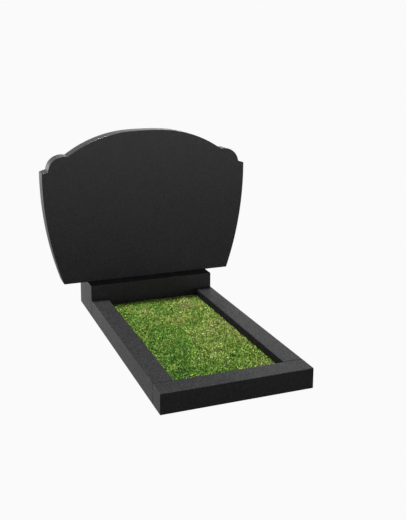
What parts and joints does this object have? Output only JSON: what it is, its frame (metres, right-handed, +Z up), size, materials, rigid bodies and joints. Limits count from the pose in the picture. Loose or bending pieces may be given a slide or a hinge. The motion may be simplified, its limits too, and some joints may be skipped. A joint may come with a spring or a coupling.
{
  "type": "headstone",
  "caption": "Polished black granite grave memorial: an upright slab with an arched top and round ears on a plinth, and a rectangular kerb around a bed of turf.",
  "frame": {"origin": "on the ground, under the middle of the memorial's bounding box", "axes": "+Z up, -Y the way the slab's front face and the kerb's front look, +Y towards the back, +X to the right of someone who faces the slab's front"},
  "size_m": [1, 1.23, 0.8603],
  "materials": {
    "polished_granite": "polished black granite with a fine grey speckle, sawn and honed on its hidden faces",
    "turf": "short mown grass on soil"
  },
  "bodies": {
    "root": {"headstone_slab": "polished_granite", "plinth": "polished_granite", "kerb_left": "polished_granite", "kerb_right": "polished_granite", "kerb_front": "polished_granite", "turf_bed": "turf"}
  },
  "joints": []
}
